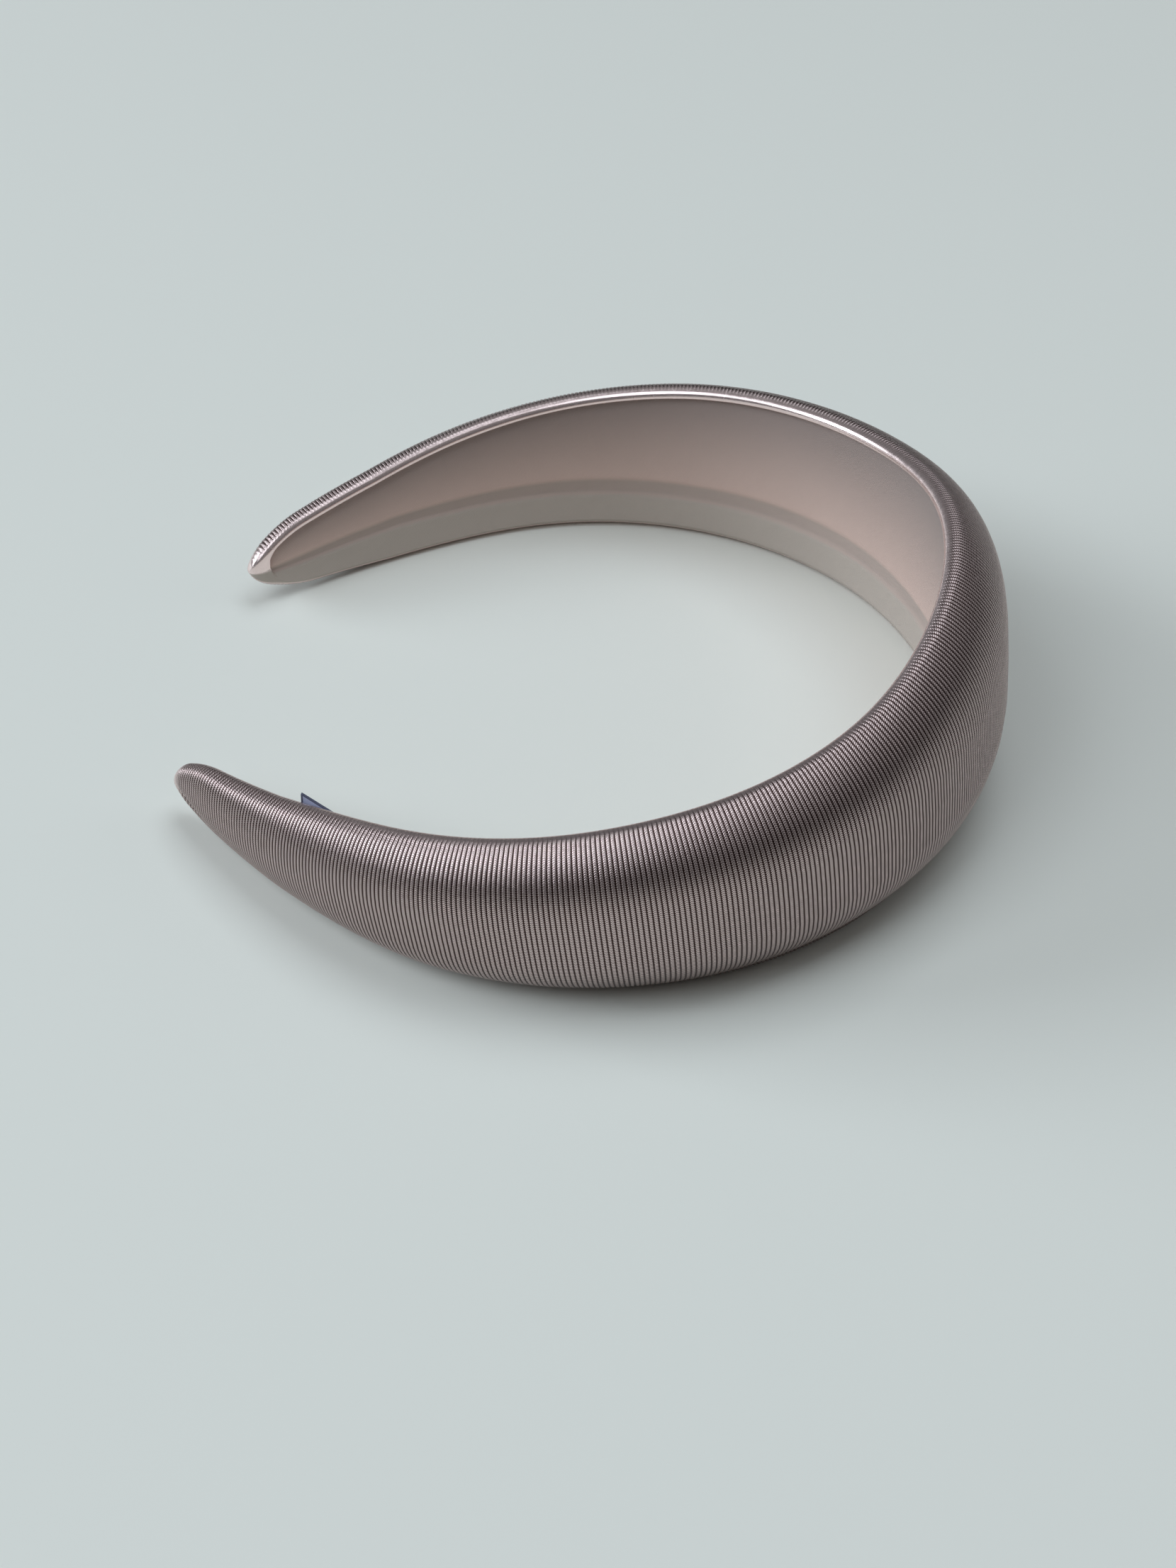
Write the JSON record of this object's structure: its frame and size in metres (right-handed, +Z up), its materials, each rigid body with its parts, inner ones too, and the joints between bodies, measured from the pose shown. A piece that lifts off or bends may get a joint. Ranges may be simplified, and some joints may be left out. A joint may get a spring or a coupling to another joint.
{
  "type": "padded headband",
  "caption": "Wide padded headband in ribbed mauve satin, rolled over its edges and tips, with a smooth inner lining and a small bare label.",
  "frame": {"origin": "on the surface that the headband lies on, under the middle of its bounding box", "axes": "+X from the tips towards the crown, +Y across the head, +Z up from the surface; the band lies on its long edge"},
  "size_m": [0.1484, 0.1516, 0.048],
  "materials": {
    "ribbed_satin": "ribbed satin knit",
    "smooth_lining": "fine matte weave",
    "label_cloth": "woven, with a darker border"
  },
  "bodies": {
    "root": {"padded_band": "ribbed_satin", "inner_lining": "smooth_lining", "inner_label": "label_cloth"}
  },
  "joints": []
}
